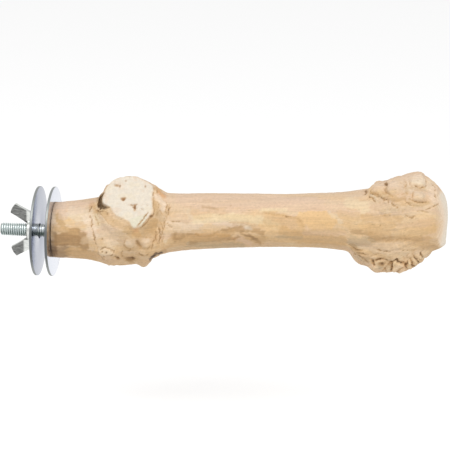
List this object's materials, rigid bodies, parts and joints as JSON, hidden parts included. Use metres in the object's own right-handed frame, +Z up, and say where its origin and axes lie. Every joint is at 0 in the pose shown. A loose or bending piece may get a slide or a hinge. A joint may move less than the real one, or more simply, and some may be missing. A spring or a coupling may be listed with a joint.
{
  "type": "bird cage perch",
  "caption": "Bolt-on cage perch: a debarked natural branch with a sawn stump and a burled tip, clamped to the cage wires by a stud, wide washers and a wing nut.",
  "frame": {"origin": "on the stud's axis, in the plane where the inner washer bears on the cage wires", "axes": "+X along the stud from the cage into the branch, +Z up with the sawn stump facing -Y"},
  "size_m": [0.2004, 0.0404, 0.0524],
  "materials": {
    "debarked_wood": "bare debarked hardwood, lightly sanded, with paler sawn faces",
    "zinc_plated_bolt": "zinc-plated rolled thread",
    "zinc_plated_washer": "bright zinc-plated stamped sheet",
    "nickel_plated_nut": "bright nickel-plated cold-forged steel"
  },
  "bodies": {
    "perch": {"wood_branch": "debarked_wood", "hanger_bolt": "zinc_plated_bolt"},
    "inner_washer": {"inner_washer": "zinc_plated_washer"},
    "outer_washer": {"outer_washer": "zinc_plated_washer"},
    "wing_nut": {"wing_nut": "nickel_plated_nut"}
  },
  "joints": [
    {"name": "inner_washer_spin", "type": "hinge", "parent": "perch", "child": "inner_washer", "pos_m": [0, 0, -0.0003], "axis": [1, 0, 0], "continuous": true},
    {"name": "outer_washer_slide", "type": "slide", "parent": "perch", "child": "outer_washer", "axis": [1, 0, 0], "range_m": [-0.0145, 0.0056]},
    {"name": "wing_nut_spin", "type": "hinge", "parent": "outer_washer", "child": "wing_nut", "pos_m": [-0.0069, 0, 0], "axis": [1, 0, 0], "range_deg": [-5222, 2018]}
  ],
  "couplings": [
    {"joint": "wing_nut_spin", "follows": "outer_washer_slide", "rad_per_m": 6283.2}
  ]
}
